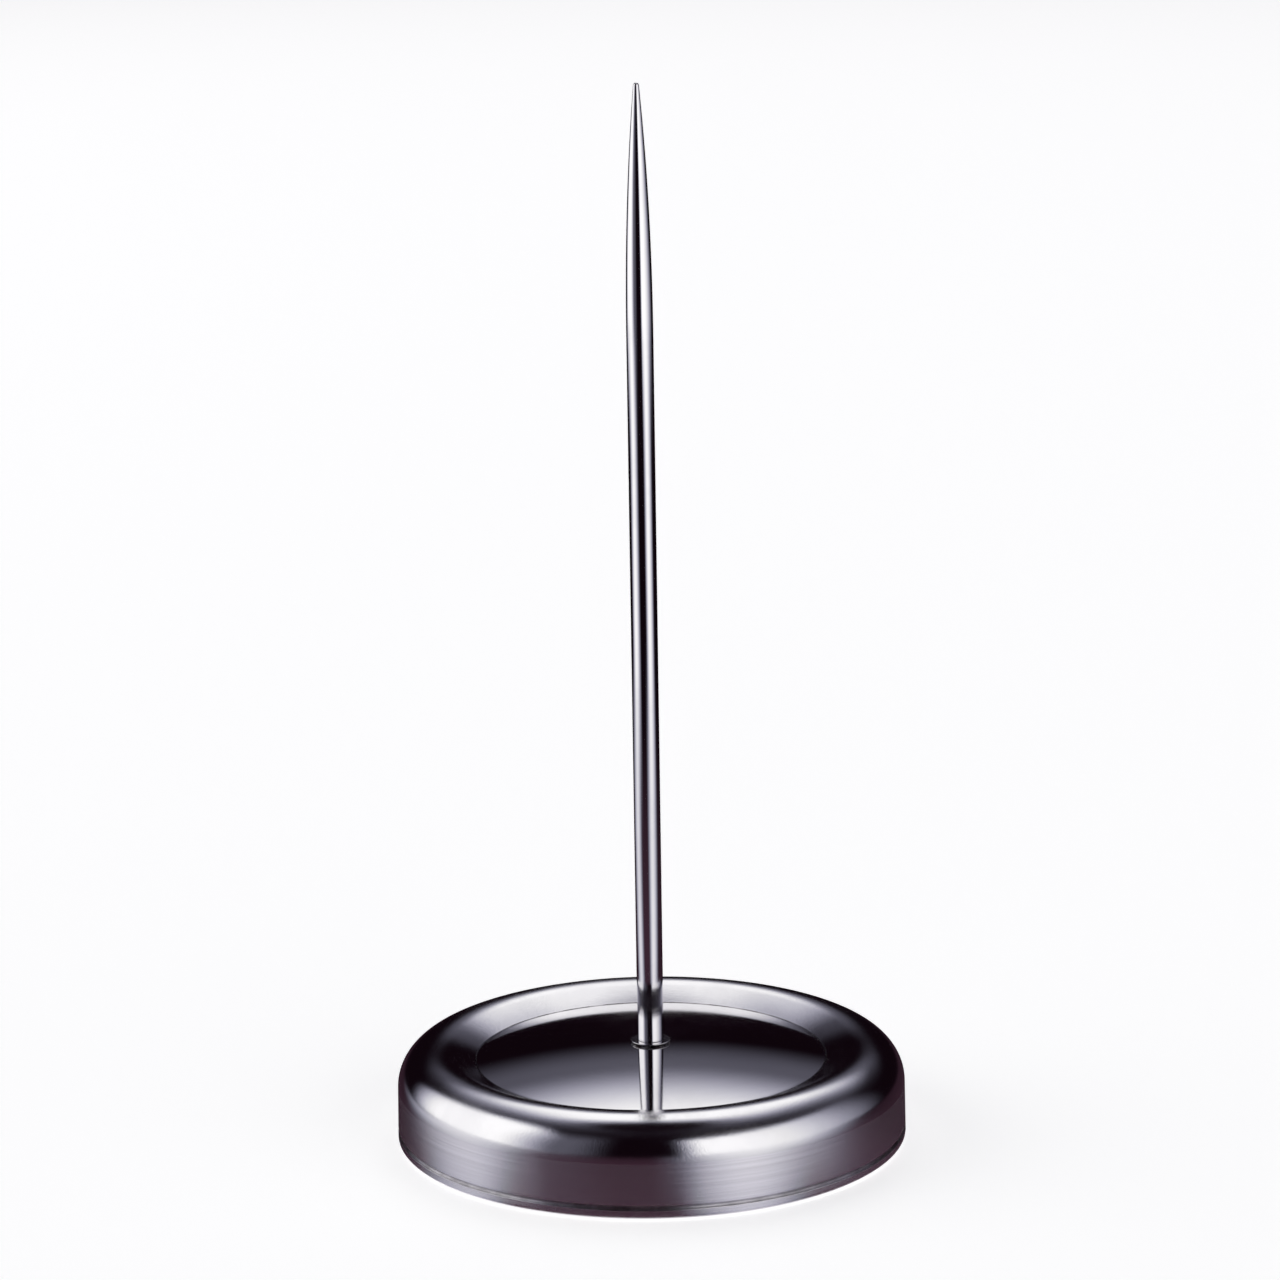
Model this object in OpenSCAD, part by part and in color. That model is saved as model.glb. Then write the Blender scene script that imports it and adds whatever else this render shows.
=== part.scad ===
// Bill spike: a pointed steel rod clamped through a weighted, dished steel base.
// Millimetres, +Z up, origin on the table under the middle of the base.

/* [Base shell] */
// Outside diameter of the base at its lower edge
base_d = 97; // [85:1:115]
// Height of the rolled rim above the table
base_h = 18.3; // [16:0.1:24]
// Outside radius of the rolled rim
rim_roll_r = 7.4; // [6:0.1:8.5]
// Width of the rim, from the lower edge in to the crease of the dish
rim_w = 15.1; // [13.5:0.1:18]
// Slope of the rim's inner side, in degrees
rim_slope = 25; // [20:1:34]
// Rise of the domed dish floor from its crease to its middle
dome_rise = 2.8; // [1.5:0.1:4]
// Radius in the crease between the rim and the dish floor
crease_r = 0.6; // [0.3:0.1:1.5]
// Lean of the side wall, which widens towards the table, in degrees
wall_draft = 1; // [0:0.25:2]
// Thickness of the sheet that the shell is pressed from
sheet_t = 0.8; // [0.5:0.1:1.2]

/* [Hem and crimp] */
// Inside radius of the bend that turns the hem under
hem_bend_r = 0.2; // [0.1:0.05:0.5]
// Length of the flat lip under the bottom plate
hem_lip_w = 2.5; // [1.5:0.1:4]
// Radius of the groove that is rolled into the wall above the bottom plate
crimp_r = 0.4; // [0.4:0.05:0.8]
// Distance that the groove's ridge reaches in over the edge of the bottom plate
crimp_hold = 0.1; // [0.05:0.05:0.3]

/* [Spike] */
// Height of the point above the table
spike_h = 200; // [150:1:240]
// Diameter of the rod
spike_d = 5; // [4.5:0.1:6.5]
// Length of the tapering point
point_l = 48; // [36:1:90]
// Fullness of the point, from a straight cone at 1
point_fullness = 2.2; // [1:0.1:3]
// Radius of the blunted tip
tip_r = 0.55; // [0.2:0.05:0.8]
// Diameter of the threaded tail under the rod's shoulder
tail_d = 4; // [3:0.1:4.2]
// Length of the chamfer on the end of the tail
tail_chamfer = 0.5; // [0.2:0.1:0.8]

/* [Fasteners] */
// Diameter of the round-edged washer at the foot of the rod
foot_washer_d = 7.5; // [6.5:0.1:10]
// Thickness of the washer at the foot of the rod
foot_washer_t = 0.5; // [0.3:0.1:1.4]
// Diameter of the plain washer under the ballast
clamp_washer_d = 12; // [9:0.5:14]
// Thickness of the plain washer under the ballast
clamp_washer_t = 1; // [0.6:0.1:1.6]
// Diameter of the split spring washer
spring_washer_d = 7.4; // [6.5:0.1:8.5]
// Thickness of the split spring washer
spring_washer_t = 1; // [0.7:0.1:1.4]
// Width of the split in the spring washer
spring_split_w = 0.8; // [0.5:0.1:1.2]
// Skew of the split in the spring washer, in degrees
spring_split_skew = 25; // [15:1:35]
// Width of the nut across its flats
nut_w = 7; // [6.5:0.1:8]
// Height of the nut
nut_h = 3.2; // [2.4:0.1:4]
// Length of tail that shows below the nut
tail_out = 1; // [0.5:0.1:1.6]

/* [Ballast and underside] */
// Diameter of the cast ballast
ballast_d = 84; // [60:1:88]
// Radius on the ballast's lower edge
ballast_edge_r = 1.5; // [0.5:0.1:3]
// Diameter of the recess for the nut
recess_d = 20; // [17:0.5:28]
// Taper of the recess wall, in degrees
recess_draft = 4; // [1:0.5:8]
// Depth left free under the end of the tail
recess_room = 1.5; // [1:0.1:3]
// Thickness of the bottom plate
plate_t = 0.8; // [0.5:0.1:1.2]
// Distance that the anti-slip disc stands below the hem
disc_proud = 0.4; // [0.2:0.1:1]

/* [Clearances] */
// Gap round the tail in the shell and the washers
hole_gap = 0.1; // [0.05:0.01:0.2]
// Gap round the tail in the ballast's cored hole
core_gap = 0.4; // [0.2:0.05:0.8]
// Gap between the thread and the nut
thread_gap = 0.05; // [0.03:0.01:0.1]
// Gap between the shell's sheet and what seats against it
seat_gap = 0.1; // [0.05:0.01:0.2]
// Gap round the anti-slip disc
disc_gap = 0.4; // [0.2:0.05:0.8]

/* [Hidden] */
$fn = 128;

// Steps in the curve of the point and in the round of its tip
point_steps = 28;
tip_steps = 6;
// Sides of the nut, and slope of the bevel on its corners in degrees
nut_sides = 6;
nut_bevel = 30;
// Overshoot of a cutting shape
past = 1;
// Depth that the straight parts of a section are tucked under its arcs, so that no sliver is left between them
tuck = 0.0003;

base_r = base_d / 2;
spike_r = spike_d / 2;
tail_r = tail_d / 2;
hole_r = tail_r + hole_gap;

// Levels at the hem, from the table up
hem_z = disc_proud;
plate_z = hem_z + sheet_t;
plate_top = plate_z + plate_t;

// Bend of the hem, inside the leaning wall
hem_r = hem_bend_r + sheet_t;
hem_c = [base_r - hem_r / cos(wall_draft), hem_z + hem_r];
plate_r = hem_c[0] - seat_gap;
lip_r = hem_c[0] - hem_lip_w;

// Groove above the bottom plate: its ridge inside the wall reaches over the plate and just clears it
ridge_r = crimp_r + sheet_t;
crimp_c = [
    plate_r + ridge_r - crimp_hold,
    plate_top + sqrt(pow(ridge_r + seat_gap, 2) - pow(ridge_r - crimp_hold, 2)),
];

// Roll of the rim, touching the wall and the rim's crest
roll_z = base_h - rim_roll_r;
roll_c = [base_r - (rim_roll_r + sin(wall_draft) * (roll_z - hem_c[1])) / cos(wall_draft), roll_z];

// Straight inner side of the rim, from the roll down to the crease
slope_up = [-sin(rim_slope), cos(rim_slope)];
slope_in = [-cos(rim_slope), -sin(rim_slope)];
roll_end = roll_c + rim_roll_r * slope_up;
crease = roll_end + slope_in * (roll_end[0] - base_r + rim_w) / cos(rim_slope);

// Domed floor of the dish, through the crease
dome_r = (pow(crease[0], 2) + pow(dome_rise, 2)) / (2 * dome_rise);
dome_top = crease[1] + dome_rise;
dome_c = [0, dome_top - dome_r];

// Fillet in the crease, touching the rim's slope and the dome from above
function first_reach(start, along, about, radius) =
    let (offset = start - about, middle = -offset * along)
    middle - sqrt(pow(middle, 2) - offset * offset + radius * radius);
fillet_start = roll_end + crease_r * slope_up;
fillet_c = fillet_start + slope_in * first_reach(fillet_start, slope_in, dome_c, dome_r + crease_r);
fillet_to_dome = (dome_c - fillet_c) / norm(dome_c - fillet_c);

// Levels of the clamped stack, from the rod's shoulder down to the end of the tail
shoulder_z = dome_top + foot_washer_t;
ballast_z = plate_top + seat_gap;
tail_z = ballast_z + recess_room;
nut_z = tail_z + tail_out;
spring_z = nut_z + nut_h;
clamp_z = spring_z + spring_washer_t;
recess_z = clamp_z + clamp_washer_t;
recess_r = recess_d / 2;
recess_mouth_r = recess_r + (recess_z - ballast_z) * tan(recess_draft);
ballast_r = ballast_d / 2;

module disc_at(centre, radius) {
    translate(centre) circle(r = radius);
}

// Half section of the space under the shell's skin, drawn in by an inset that keeps the sheet even
module skin_section(inset) {
    fillet = crease_r + inset;
    under_dome = fillet_c + (fillet + 3 * tuck) * fillet_to_dome;
    slope_foot = fillet_c - (fillet + tuck) * slope_up;
    slope_top = roll_end - (inset + tuck) * slope_up;
    floor_z = hem_z + inset;
    lean = [cos(wall_draft), sin(wall_draft)];
    difference() {
        union() {
            intersection() {
                translate([0, dome_top]) disc_at([0, -dome_r], dome_r - inset);
                translate([0, floor_z]) square([crease[0], base_h]);
            }
            polygon([
                [under_dome[0], floor_z],
                [hem_c[0], floor_z],
                hem_c,
                hem_c + (hem_r - inset - tuck) * lean,
                roll_c + (rim_roll_r - inset - tuck) * lean,
                roll_c,
                slope_top,
                slope_foot,
                fillet_c,
                under_dome,
            ]);
            disc_at(roll_c, rim_roll_r - inset);
            disc_at(hem_c, hem_r - inset);
        }
        disc_at(fillet_c, fillet + 2 * tuck);
        disc_at(crimp_c, crimp_r + inset);
    }
}

// Turned ring with a full round on its outer edge
module round_edged_ring(outer_r, inner_r, height) {
    edge_r = height / 2;
    rotate_extrude() {
        translate([inner_r, 0]) square([outer_r - edge_r - inner_r, height]);
        disc_at([outer_r - edge_r, edge_r], edge_r);
    }
}

module flat_ring(outer_r, inner_r, height) {
    difference() {
        cylinder(r = outer_r, h = height);
        translate([0, 0, -past]) cylinder(r = inner_r, h = height + 2 * past);
    }
}

// Polished rod with a long full point, a shoulder and a thinner tail
module spike() {
    point_z = spike_h - point_l;
    tip_lean = atan((spike_r - tip_r) * point_fullness / point_l);
    tip_start = [tip_r * cos(tip_lean), spike_h - tip_r + tip_r * sin(tip_lean)];
    taper = [
        for (i = [0:point_steps - 1])
        let (u = i / point_steps)
        [
            spike_r - (spike_r - tip_start[0]) * pow(u, point_fullness),
            point_z + (tip_start[1] - point_z) * u,
        ]
    ];
    tip = [
        for (i = [0:tip_steps - 1])
        let (a = tip_lean + (90 - tip_lean) * i / tip_steps)
        [tip_r * cos(a), spike_h - tip_r + tip_r * sin(a)]
    ];
    color([0.78, 0.79, 0.82]) rotate_extrude() polygon(concat(
        [
            [0, tail_z],
            [tail_r - tail_chamfer, tail_z],
            [tail_r, tail_z + tail_chamfer],
            [tail_r, shoulder_z],
            [spike_r, shoulder_z],
        ],
        taper,
        tip,
        [[0, spike_h]]
    ));
}

// Washer that shows at the foot of the rod, between its shoulder and the dish
module foot_washer() {
    color([0.72, 0.73, 0.76]) translate([0, 0, dome_top])
        round_edged_ring(foot_washer_d / 2, hole_r, foot_washer_t);
}

// Pressed cover: domed dish, rolled rim, leaning wall, rolled groove and hem turned under
module base_shell() {
    color([0.6, 0.6, 0.63]) rotate_extrude() difference() {
        skin_section(0);
        skin_section(sheet_t);
        square([hole_r, base_h + past]);
        square([lip_r, plate_z]);
    }
}

// Cast weight that follows the shell's underside, with a recess for the nut
module ballast() {
    color([0.25, 0.25, 0.26]) rotate_extrude() difference() {
        intersection() {
            skin_section(sheet_t + seat_gap);
            union() {
                translate([0, ballast_z]) square([ballast_r - ballast_edge_r, base_h]);
                translate([0, ballast_z + ballast_edge_r]) square([ballast_r, base_h]);
                disc_at([ballast_r - ballast_edge_r, ballast_z + ballast_edge_r], ballast_edge_r);
            }
        }
        square([tail_r + core_gap, base_h + past]);
        polygon([
            [0, ballast_z - past],
            [recess_mouth_r + past * tan(recess_draft), ballast_z - past],
            [recess_r, recess_z],
            [0, recess_z],
        ]);
    }
}

// Plain washer against the roof of the recess
module clamp_washer() {
    color([0.66, 0.67, 0.66]) translate([0, 0, clamp_z])
        flat_ring(clamp_washer_d / 2, hole_r, clamp_washer_t);
}

// Split spring washer, pressed flat by the nut
module spring_washer() {
    color([0.5, 0.5, 0.52]) translate([0, 0, spring_z]) difference() {
        flat_ring(spring_washer_d / 2, hole_r, spring_washer_t);
        translate([spring_washer_d / 2, 0, spring_washer_t / 2]) rotate([spring_split_skew, 0, 0])
            cube([spring_washer_d, spring_split_w, 3 * spring_washer_t], center = true);
    }
}

// Hexagon nut with bevelled corners
module clamp_nut() {
    flat_r = nut_w / 2;
    corner_r = flat_r / cos(180 / nut_sides);
    bevel_h = (corner_r - flat_r) * tan(nut_bevel);
    color([0.7, 0.7, 0.68]) translate([0, 0, nut_z]) difference() {
        intersection() {
            cylinder(r = corner_r, h = nut_h, $fn = nut_sides);
            rotate_extrude() polygon([
                [0, 0],
                [flat_r, 0],
                [corner_r, bevel_h],
                [corner_r, nut_h - bevel_h],
                [flat_r, nut_h],
                [0, nut_h],
            ]);
        }
        translate([0, 0, -past]) cylinder(r = tail_r + thread_gap, h = nut_h + 2 * past);
    }
}

// Sheet disc that closes the base, held between the hem's lip and the rolled groove
module bottom_plate() {
    color([0.55, 0.56, 0.57]) translate([0, 0, plate_z]) cylinder(r = plate_r, h = plate_t);
}

// Rubber disc stuck to the bottom plate inside the hem
module anti_slip_disc() {
    color([0.08, 0.08, 0.09]) cylinder(r = lip_r - disc_gap, h = plate_z);
}

spike();
foot_washer();
base_shell();
ballast();
clamp_washer();
spring_washer();
clamp_nut();
bottom_plate();
anti_slip_disc();
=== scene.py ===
# %% [markdown]
# # A desk bill spike
# A bill spike is a polished steel rod with a long point, clamped upright through a heavy round base. Every
# piece of it is turned, spun or rolled, so nearly all of this lesson is about one idea: draw half a section
# and sweep it round the upright axis. The rest is about light, because polished steel has hardly any look of
# its own and shows the room instead.
#
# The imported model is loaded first. It fixes where everything is, in metres, and nothing here moves it.

import math

import bpy
from mathutils import Matrix, Vector


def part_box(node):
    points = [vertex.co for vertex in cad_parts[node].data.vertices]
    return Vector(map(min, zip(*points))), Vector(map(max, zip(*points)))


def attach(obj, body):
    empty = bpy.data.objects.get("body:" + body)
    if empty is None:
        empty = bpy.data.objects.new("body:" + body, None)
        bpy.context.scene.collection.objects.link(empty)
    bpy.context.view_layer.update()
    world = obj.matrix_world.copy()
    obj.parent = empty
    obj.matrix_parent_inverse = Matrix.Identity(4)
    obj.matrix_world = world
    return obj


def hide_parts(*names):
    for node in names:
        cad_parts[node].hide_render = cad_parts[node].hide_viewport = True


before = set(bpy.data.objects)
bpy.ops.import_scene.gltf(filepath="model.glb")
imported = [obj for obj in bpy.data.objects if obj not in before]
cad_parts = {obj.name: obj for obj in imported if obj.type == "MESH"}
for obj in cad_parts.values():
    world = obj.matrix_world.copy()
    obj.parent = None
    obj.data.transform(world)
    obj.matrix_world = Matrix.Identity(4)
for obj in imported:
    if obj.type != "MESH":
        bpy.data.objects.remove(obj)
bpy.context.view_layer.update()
scene = bpy.context.scene
scene.view_settings.view_transform = "Standard"
MM = 0.001


print("solids in the frame:", ", ".join(sorted(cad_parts)))

# %% [markdown]
# ## Sizes
# A piece that stands for a solid has to lie exactly where the solid is. Heights and radii are therefore read
# from the boxes of the solids. What a box can't tell, such as the radius of a bend, is written here once.

# %% Sizes from the frame
shell_low, shell_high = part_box("base_shell")
washer_low, washer_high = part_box("foot_washer")
spike_low, spike_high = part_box("spike")
plate_low, plate_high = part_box("bottom_plate")
disc_low, disc_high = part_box("anti_slip_disc")

base_r = shell_high.x
hem_z = shell_low.z
sheet_t = plate_low.z - hem_z
dome_top = washer_low.z
shoulder_z = washer_high.z
spike_r = spike_high.x
print(f"base {base_r / MM:.2f} mm in radius, sheet {sheet_t / MM:.2f} mm, dish top {dome_top / MM:.3f} mm")

# %% Sizes that a box can't tell
rim_h = 18.3 * MM
roll_r = 7.4 * MM
rim_w = 15.1 * MM
rim_slope = math.radians(25)
wall_lean = math.radians(1)
crease_r = 0.6 * MM
hem_r = 1.0 * MM
hem_lip_w = 2.5 * MM
groove_r = 0.4 * MM
groove_up = 0.693 * MM
hole_r = 2.1 * MM
tail_r = 2.0 * MM
point_l = 48 * MM
point_fullness = 2.2
tip_r = 0.55 * MM
print(f"rim {rim_h / MM:.1f} mm high and {rim_w / MM:.1f} mm wide, point {point_l / MM:.0f} mm long")

# %% [markdown]
# ## The camera
# The photograph looks down on the base at a shallow angle through a fairly long lens, from about three
# quarters of a metre. The camera is built from three directions, right, up and back, which is easier to follow
# than three angles. It is also rolled by less than a degree, as the photograph is.

# %% Camera
camera_distance = 0.75
camera_pitch = math.radians(12.33)
camera_roll = math.radians(-0.9)
camera_aim = Vector((-0.00084, 0, 0.0967))
camera_lens = 113.1
camera_sensor = 36
nearest_seen = 0.01

level_right = Vector((1, 0, 0))
back = Vector((0, -math.cos(camera_pitch), math.sin(camera_pitch)))
level_up = back.cross(level_right)
right = math.cos(camera_roll) * level_right + math.sin(camera_roll) * level_up
up = math.cos(camera_roll) * level_up - math.sin(camera_roll) * level_right

camera_data = bpy.data.cameras.new("camera")
camera_data.sensor_width = camera_sensor
camera_data.lens = camera_lens
camera_data.clip_start = nearest_seen
camera = bpy.data.objects.new("camera", camera_data)
camera_turn = Matrix((right, up, back)).transposed().to_4x4()
camera.matrix_world = Matrix.Translation(camera_aim + camera_distance * back) @ camera_turn
scene.collection.objects.link(camera)
scene.camera = camera
print("camera stands at", [round(value, 3) for value in camera.location])

# %% [markdown]
# ## Helpers for node trees
# Shaders and Geometry Nodes are both trees of nodes. One helper adds a node, sets its options and fills its
# sockets, either with a plain value or with the output of an earlier node. Two more are short for a sum of
# numbers and a sum of vectors. The last two start and finish a group, which is a tree with named sockets.

# %% Node helpers
NUMBER = "NodeSocketFloat"
WHOLE_NUMBER = "NodeSocketInt"
VECTOR = "NodeSocketVector"
GEOMETRY = "NodeSocketGeometry"
MATERIAL = "NodeSocketMaterial"


def add_node(tree, kind, sockets=None, **options):
    node = tree.nodes.new(kind)
    for name, value in options.items():
        setattr(node, name, value)
    for key, value in (sockets or {}).items():
        if isinstance(value, bpy.types.NodeSocket):
            tree.links.new(value, node.inputs[key])
        else:
            node.inputs[key].default_value = value
    return node


def calculate(tree, operation, *values):
    return add_node(tree, "ShaderNodeMath", dict(enumerate(values)), operation=operation).outputs[0]


def calculate_vector(tree, operation, *values):
    node = add_node(tree, "ShaderNodeVectorMath", dict(enumerate(values)), operation=operation)
    return node.outputs["Value" if operation == "LENGTH" else "Vector"]


def new_group(name, kind, inputs, outputs):
    tree = bpy.data.node_groups.new(name, kind)
    for in_out, sockets in (("INPUT", inputs), ("OUTPUT", outputs)):
        for socket, socket_type in sockets.items():
            tree.interface.new_socket(socket, in_out=in_out, socket_type=socket_type)
    return tree, tree.nodes.new("NodeGroupInput").outputs, tree.nodes.new("NodeGroupOutput")


def finish_group(tree, result, outputs):
    for name, socket in outputs.items():
        tree.links.new(socket, result.inputs[name])
    print("group", tree.name, "has", len(tree.nodes), "nodes")


print("groups can have sockets of these types:", NUMBER, WHOLE_NUMBER, VECTOR, GEOMETRY, MATERIAL)

# %% [markdown]
# ## Light for polished steel
# A mirror shows what stands round it, so a chrome object is lit by building its surroundings. The photograph
# shows three lights in the steel: a soft panel on the left, one on the right, and a round light high behind.
# All else is black, which draws the dark bands. A large dome carries all three, and a card on the table shows
# where they light it. A panel fades in and out between two angles, so that its edges are soft. The dome and
# the card are seen by reflections and not by the camera.

# %% A direction as two angles, as a group
RADIAN_IN_DEGREES = math.degrees(1)
two_angles, given, result = new_group(
    "Two Angles", "ShaderNodeTree", {"Direction": VECTOR}, {"Azimuth": NUMBER, "Elevation": NUMBER}
)
unit = calculate_vector(two_angles, "NORMALIZE", given["Direction"])
along = add_node(two_angles, "ShaderNodeSeparateXYZ", {0: unit}).outputs
towards_camera = calculate(two_angles, "MULTIPLY", along["Y"], -1)
azimuth = calculate(two_angles, "ARCTAN2", along["X"], towards_camera)
elevation = calculate(two_angles, "ARCSINE", along["Z"])
finish_group(
    two_angles,
    result,
    {
        "Azimuth": calculate(two_angles, "MULTIPLY", azimuth, RADIAN_IN_DEGREES),
        "Elevation": calculate(two_angles, "MULTIPLY", elevation, RADIAN_IN_DEGREES),
    },
)

# %% A soft panel, as a group
HALF_TURN = 180


def soft_edge(tree, value, fade, full):
    """0 where the value is at fade and beyond, 1 from full on, and a smooth step in between."""
    step = {"Value": value, "From Min": fade, "From Max": full}
    return add_node(tree, "ShaderNodeMapRange", step, interpolation_type="SMOOTHSTEP").outputs["Result"]


def angle_aside(tree, azimuth, facing):
    """How far one azimuth lies to the side of another, within half a turn either way."""
    return calculate(tree, "WRAP", calculate(tree, "SUBTRACT", azimuth, facing), HALF_TURN, -HALF_TURN)


panel_place = ["Facing", "Left Fade", "Left Full", "Right Full", "Right Fade"]
panel_place += ["High Full", "High Fade", "Arch", "Lean"]
panel_inputs = dict.fromkeys(["Azimuth", "Elevation"] + panel_place, NUMBER)
soft_panel, given, result = new_group("Soft Panel", "ShaderNodeTree", panel_inputs, {"Glow": NUMBER})
aside = angle_aside(soft_panel, given["Azimuth"], given["Facing"])
arch = calculate(soft_panel, "MULTIPLY", calculate(soft_panel, "MULTIPLY", aside, aside), given["Arch"])
height = calculate(soft_panel, "ADD", given["Elevation"], arch)
leaning = calculate(soft_panel, "MULTIPLY_ADD", given["Elevation"], given["Lean"], aside)
left_edge = soft_edge(soft_panel, leaning, given["Left Fade"], given["Left Full"])
right_edge = soft_edge(soft_panel, aside, given["Right Fade"], given["Right Full"])
high_edge = soft_edge(soft_panel, height, given["High Fade"], given["High Full"])
sides = calculate(soft_panel, "MULTIPLY", left_edge, right_edge)
finish_group(soft_panel, result, {"Glow": calculate(soft_panel, "MULTIPLY", sides, high_edge)})

# %% Where the panels stand
# Facing is an angle round the object, from the camera to the right. The other angles are measured from there.
# The arch lowers the top of a panel towards its ends, and the lean tips its left edge outwards. The table
# shows the two main panels as well, in a pattern of its own for each distance from the object.
room_panels = [  # strength, facing, left fade and full, right full and fade, high full and fade, arch, lean
    (1.27, -82, -54, -25, 7, 38, 47, 60, 0.0102, 0.33),
    (0.11, -45, -20, -3, 5, 28, 34, 60, 0, 0),
    (1.3, 45, -35, -20, -8, 82, 40, 51, 0.0015, 0),
]
close_panels = [(0.5, -91, -46, -2, 2, 31, 40, 60, 0, 0), (0.6, 44, -34, -2, 0, 36, 40, 60, 0, 0)]
near_panels = [(0.84, -93, -58, -3, 2, 47, 40, 60, 0, 0), (0.95, 43, -45, -2, 2, 64, 40, 60, 0, 0)]
far_panels = [(1.18, -74, -46, -3, 3, 46, 40, 60, 0, 0), (1.18, 46, -34, -2, 2, 52, 40, 60, 0, 0)]
print("panels in the room face", [facing for _, facing, *_ in room_panels], "degrees from the camera")

# %% Glow of a surface
coolest_blue = 1.3
blue_fall = -0.29


def panel_glow(tree, angles, panels):
    """The glow of several panels together."""
    total = 0.0
    for strength, *place in panels:
        sockets = {name: angles[name] for name in ("Azimuth", "Elevation")}
        sockets.update(zip(panel_place, place))
        panel = add_node(tree, "ShaderNodeGroup", sockets, node_tree=soft_panel)
        total = calculate(tree, "MULTIPLY_ADD", panel.outputs["Glow"], strength, total)
    return total


def glowing_material(name):
    """A material that only glows, with its tree, the place of a point and that place as two angles."""
    material = bpy.data.materials.new(name)
    material.use_nodes = True
    material.cycles.emission_sampling = "NONE"
    tree = material.node_tree
    tree.nodes.clear()
    place = add_node(tree, "ShaderNodeTexCoord").outputs["Object"]
    angles = add_node(tree, "ShaderNodeGroup", {"Direction": place}, node_tree=two_angles).outputs
    return material, tree, place, angles


def set_glow(tree, glow, least):
    """Light of the given strength, a little cooler where it is dim, and never less than a faint colour."""
    cool = calculate(tree, "MAXIMUM", calculate(tree, "MULTIPLY_ADD", glow, blue_fall, coolest_blue), 1)
    channels = {
        "Red": calculate(tree, "ADD", glow, least[0]),
        "Green": calculate(tree, "ADD", glow, least[1]),
        "Blue": calculate(tree, "MULTIPLY_ADD", glow, cool, least[2]),
    }
    colour = add_node(tree, "ShaderNodeCombineColor", channels).outputs[0]
    emission = add_node(tree, "ShaderNodeEmission", {"Color": colour})
    add_node(tree, "ShaderNodeOutputMaterial", {"Surface": emission.outputs[0]})
    print("a glowing surface takes", len(tree.nodes), "nodes")


print("the dimmest light is", coolest_blue, "times as blue as white")

# %% The round light high behind
# Its glow falls with the angle to either side, slowly at first and then fast, as an umbrella's does. Its lower
# edge is sharper, rises a little on the left, and has a faint glow under it. That edge is what makes the dish
# turn from white to black.
round_light_strength = 1.27
round_light_azimuth = 177.2
round_light_half = 19.5
round_light_power = 4
round_light_lean = 0.12
faint_share = 0.08
faint_edge = (17, 25)
lower_edge = (25.5, 40.5)
upper_edge = (79, 60)
darkest = (0.005, 0.002, 0.004)

dome_material, tree, _, angles = glowing_material("light dome")
aside = angle_aside(tree, angles["Azimuth"], round_light_azimuth)
level = calculate(tree, "COSINE", calculate(tree, "DIVIDE", angles["Elevation"], RADIAN_IN_DEGREES))
across = calculate(tree, "DIVIDE", calculate(tree, "MULTIPLY", aside, level), round_light_half)
away = calculate(tree, "ABSOLUTE", across)
fall = calculate(tree, "ADD", calculate(tree, "POWER", away, round_light_power), 1)
on_the_left = calculate(tree, "MAXIMUM", aside, 0)
height = calculate(tree, "MULTIPLY_ADD", on_the_left, -round_light_lean, angles["Elevation"])
faint = calculate(tree, "MULTIPLY", soft_edge(tree, height, *faint_edge), faint_share)
lower = calculate(tree, "MULTIPLY_ADD", soft_edge(tree, height, *lower_edge), 1 - faint_share, faint)
upper = soft_edge(tree, angles["Elevation"], *upper_edge)
disc = calculate(tree, "MULTIPLY", calculate(tree, "DIVIDE", round_light_strength, fall), upper)
panels = panel_glow(tree, angles, room_panels)
set_glow(tree, calculate(tree, "MULTIPLY_ADD", disc, lower, panels), darkest)

# %% The lit table round the object
# The card glows with painted light: it is bright where the panels would light the table. Near the object the
# two bright parts close in towards the camera, because the round wall turns what it reflects twice as fast as
# itself. With growing distance, in metres, each pattern gives way to the next.
closing_power = 1.8
close_to_near = (0.055, 0.095)
near_to_far = (0.2, 0.45)
far_to_room = (0.75, 1.3)


def blend(tree, share, first, second):
    return add_node(tree, "ShaderNodeMix", {0: share, 2: first, 3: second}).outputs[0]


card_material, tree, place, angles = glowing_material("lit table")
reach = calculate_vector(tree, "LENGTH", place)
closer = calculate(tree, "POWER", calculate(tree, "DIVIDE", base_r, reach), closing_power)
turned = calculate(tree, "MULTIPLY", angles["Azimuth"], calculate(tree, "ADD", closer, 1))
turned = calculate(tree, "MAXIMUM", calculate(tree, "MINIMUM", turned, HALF_TURN), -HALF_TURN)
near_angles = {"Azimuth": turned, "Elevation": angles["Elevation"]}
glow = panel_glow(tree, near_angles, close_panels)
next_patterns = [
    (near_panels, near_angles, close_to_near),
    (far_panels, angles, near_to_far),
    (room_panels, angles, far_to_room),
]
for panels, seen_at, change in next_patterns:
    glow = blend(tree, soft_edge(tree, reach, *change), glow, panel_glow(tree, seen_at, panels))
print("the table shows", 1 + len(next_patterns), "patterns, the last one from", far_to_room[1], "metres on")

# %% Shade of the object on the table
# Close to the object, where no panel lights the table, a dim purple painted shade is left in the card's glow.
# It gets weaker to the sides.
wide_shade = 0.68
wide_edge = (0.36, 0.13)
tight_shade = 0.26
tight_edge = (0.085, 0.07)
side_loss = 0.45
side_edge = (62, 92)
unlit_edge = (0.16, 0.01)
shade_tint = (0.068, 0.032, 0.05)

wide = calculate(tree, "MULTIPLY", soft_edge(tree, reach, *wide_edge), wide_shade)
shade = calculate(tree, "MULTIPLY_ADD", soft_edge(tree, reach, *tight_edge), tight_shade, wide)
to_the_side = calculate(tree, "ABSOLUTE", angles["Azimuth"])
in_front = calculate(tree, "MULTIPLY_ADD", soft_edge(tree, to_the_side, *side_edge), -side_loss, 1)
shade = calculate(tree, "MULTIPLY", shade, in_front)
shade = calculate(tree, "MULTIPLY", shade, soft_edge(tree, glow, *unlit_edge))
least = [calculate(tree, "MULTIPLY_ADD", shade, tint, low) for tint, low in zip(shade_tint, darkest)]
set_glow(tree, glow, least)

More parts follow.
